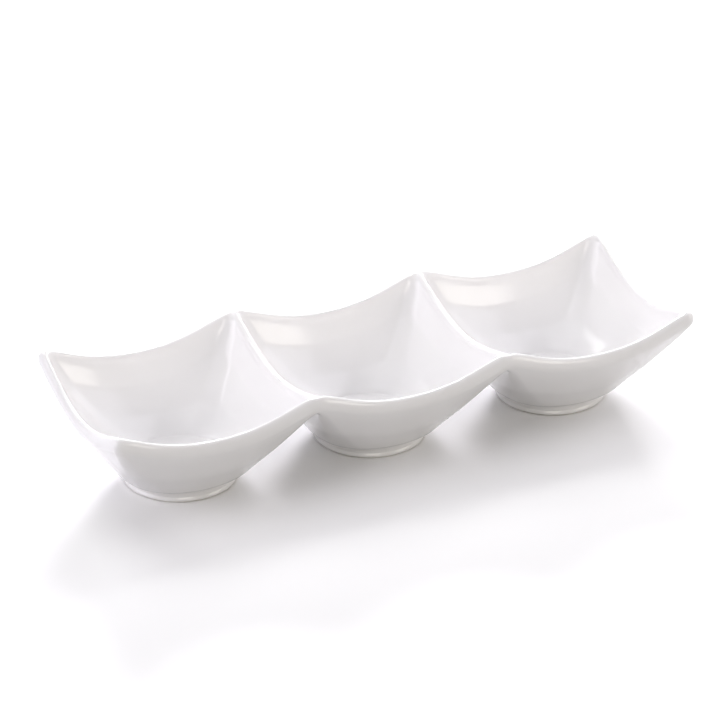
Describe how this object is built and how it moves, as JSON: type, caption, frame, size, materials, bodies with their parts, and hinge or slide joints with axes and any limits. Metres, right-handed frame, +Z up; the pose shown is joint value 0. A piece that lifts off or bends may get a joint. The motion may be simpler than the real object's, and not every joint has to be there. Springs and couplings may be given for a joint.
{
  "type": "divided dipping dish",
  "caption": "White glazed dipping dish: square cups in a row with shared dividers, sagging rims swept up to points at the corners, round floors and low round feet.",
  "frame": {"origin": "on the table plane, under the middle of the dish", "axes": "+X along the row of cups, +Z up out of the cups, +Y across the row"},
  "size_m": [0.305, 0.102, 0.055],
  "materials": {
    "white_glaze": "gloss"
  },
  "bodies": {
    "root": {"cup_left": "white_glaze", "cup_middle": "white_glaze", "cup_right": "white_glaze", "foot_ring_left": "white_glaze", "foot_ring_middle": "white_glaze", "foot_ring_right": "white_glaze"}
  },
  "joints": []
}
